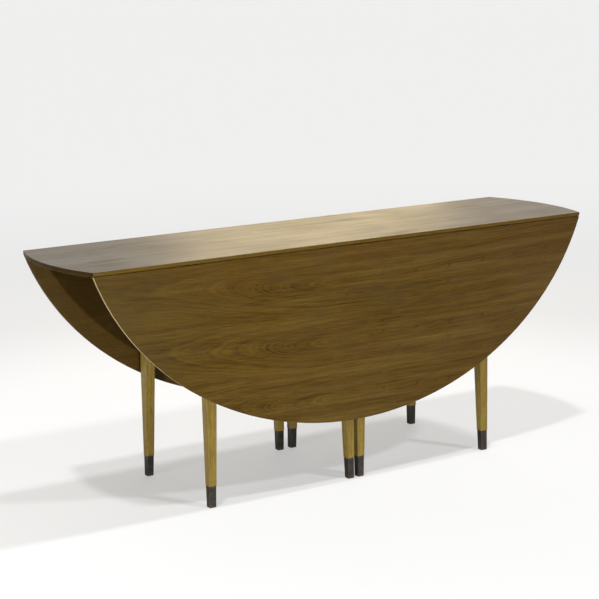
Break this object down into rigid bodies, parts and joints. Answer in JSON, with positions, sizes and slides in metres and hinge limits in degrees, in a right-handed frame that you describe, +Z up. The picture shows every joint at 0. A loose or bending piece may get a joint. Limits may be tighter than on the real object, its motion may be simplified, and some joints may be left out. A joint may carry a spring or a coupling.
{
  "type": "drop-leaf gate-leg table",
  "caption": "Oval drop-leaf dining table with hinged leaves, swinging gate legs, tapered square legs and dark metal sabots.",
  "frame": {"origin": "on the floor, under the middle of the table", "axes": "+X along the table to its right end, +Y to the rear leaf, +Z up; -Y is the front"},
  "size_m": [1.816, 0.458, 0.737],
  "materials": {
    "top_walnut": "figured walnut, satin polish",
    "leg_wood": "golden brown hardwood, satin polish",
    "frame_wood": "plain hardwood, thin finish",
    "sabot_metal": "blackened bronze, soft sheen",
    "hinge_brass": "dull brass",
    "screw_steel": "plain steel"
  },
  "bodies": {
    "root": {"centre_top": "top_walnut", "front_left_top_flap": "hinge_brass", "front_middle_top_flap": "hinge_brass", "front_right_top_flap": "hinge_brass", "rear_left_top_flap": "hinge_brass", "rear_middle_top_flap": "hinge_brass", "rear_right_top_flap": "hinge_brass", "front_hinge_pins": "hinge_brass", "rear_hinge_pins": "hinge_brass", "top_flap_screws": "screw_steel", "front_long_apron": "frame_wood", "rear_long_apron": "frame_wood", "left_end_apron": "frame_wood", "right_end_apron": "frame_wood", "left_bearer": "frame_wood", "right_bearer": "frame_wood", "top_fixing_screws": "screw_steel", "hinge_block_screws": "screw_steel", "gate_pins": "screw_steel", "front_left_corner_brace": "frame_wood", "front_left_leg": "leg_wood", "front_left_leg_sabot": "sabot_metal", "front_left_hinge_block": "frame_wood", "front_right_corner_brace": "frame_wood", "front_right_leg": "leg_wood", "front_right_leg_sabot": "sabot_metal", "front_right_hinge_block": "frame_wood", "rear_left_corner_brace": "frame_wood", "rear_left_leg": "leg_wood", "rear_left_leg_sabot": "sabot_metal", "rear_left_hinge_block": "frame_wood", "rear_right_corner_brace": "frame_wood", "rear_right_leg": "leg_wood", "rear_right_leg_sabot": "sabot_metal", "rear_right_hinge_block": "frame_wood"},
    "front_leaf": {"front_leaf": "top_walnut", "front_left_leaf_flap": "hinge_brass", "front_middle_leaf_flap": "hinge_brass", "front_right_leaf_flap": "hinge_brass", "front_leaf_flap_screws": "screw_steel"},
    "rear_leaf": {"rear_leaf": "top_walnut", "rear_left_leaf_flap": "hinge_brass", "rear_middle_leaf_flap": "hinge_brass", "rear_right_leaf_flap": "hinge_brass", "rear_leaf_flap_screws": "screw_steel"},
    "front_left_gate": {"front_left_fly_rail": "frame_wood", "front_left_gate_leg": "leg_wood", "front_left_gate_sabot": "sabot_metal"},
    "front_right_gate": {"front_right_fly_rail": "frame_wood", "front_right_gate_leg": "leg_wood", "front_right_gate_sabot": "sabot_metal"},
    "rear_left_gate": {"rear_left_fly_rail": "frame_wood", "rear_left_gate_leg": "leg_wood", "rear_left_gate_sabot": "sabot_metal"},
    "rear_right_gate": {"rear_right_fly_rail": "frame_wood", "rear_right_gate_leg": "leg_wood", "rear_right_gate_sabot": "sabot_metal"}
  },
  "joints": [
    {"name": "front_leaf_hinge", "type": "hinge", "parent": "root", "child": "front_leaf", "pos_m": [0, -0.2225, 0.7307], "axis": [-1, 0, 0], "range_deg": [0, 90]},
    {"name": "rear_leaf_hinge", "type": "hinge", "parent": "root", "child": "rear_leaf", "pos_m": [0, 0.2225, 0.7307], "axis": [1, 0, 0], "range_deg": [0, 90]},
    {"name": "front_left_gate_hinge", "type": "hinge", "parent": "root", "child": "front_left_gate", "pos_m": [-0.43, -0.1925, 0.612], "axis": [0, 0, -1], "range_deg": [0, 1.5]},
    {"name": "front_right_gate_hinge", "type": "hinge", "parent": "root", "child": "front_right_gate", "pos_m": [0.43, -0.1925, 0.612], "axis": [0, 0, 1], "range_deg": [0, 1.5]},
    {"name": "rear_left_gate_hinge", "type": "hinge", "parent": "root", "child": "rear_left_gate", "pos_m": [-0.43, 0.1925, 0.612], "axis": [0, 0, 1], "range_deg": [0, 1.5]},
    {"name": "rear_right_gate_hinge", "type": "hinge", "parent": "root", "child": "rear_right_gate", "pos_m": [0.43, 0.1925, 0.612], "axis": [0, 0, -1], "range_deg": [0, 1.5]}
  ]
}
